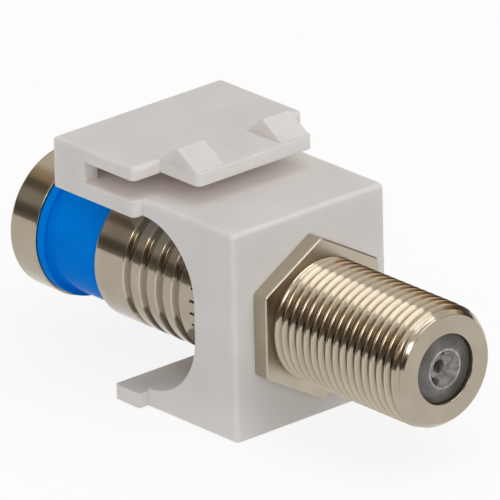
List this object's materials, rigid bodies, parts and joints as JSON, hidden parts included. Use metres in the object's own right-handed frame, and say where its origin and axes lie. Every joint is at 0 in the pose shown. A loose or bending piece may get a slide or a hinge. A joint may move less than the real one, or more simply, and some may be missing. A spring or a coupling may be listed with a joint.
{
  "type": "snap-in coaxial port insert",
  "caption": "Snap-in wall-plate insert with a threaded coaxial port at the front and a compression cable end behind.",
  "frame": {"origin": "centre of the hex flange's front face, where the port's thread starts", "axes": "the port points along -Y, the cable enters from +Y, the latch is on top, +Z"},
  "size_m": [0.0166, 0.0424, 0.0206],
  "materials": {
    "housing_plastic": "satin light warm grey moulded plastic",
    "body_nickel": "bright nickel plate over brass",
    "insulator_plastic": "smooth grey dielectric",
    "contact_metal": "plated spring metal",
    "post_nickel": "nickel plate over brass",
    "ring_plastic": "glossy blue plastic",
    "sleeve_nickel": "bright nickel plate over brass"
  },
  "bodies": {
    "port": {"housing": "housing_plastic", "connector_body": "body_nickel", "front_insulator": "insulator_plastic", "rear_insulator": "insulator_plastic", "centre_contact": "contact_metal", "inner_post": "post_nickel"},
    "cable_clamp": {"compression_ring": "ring_plastic", "end_sleeve": "sleeve_nickel"}
  },
  "joints": [
    {"name": "compression_slide", "type": "slide", "parent": "port", "child": "cable_clamp", "axis": [0, -1, 0], "range_m": [0, 0.0056]}
  ]
}
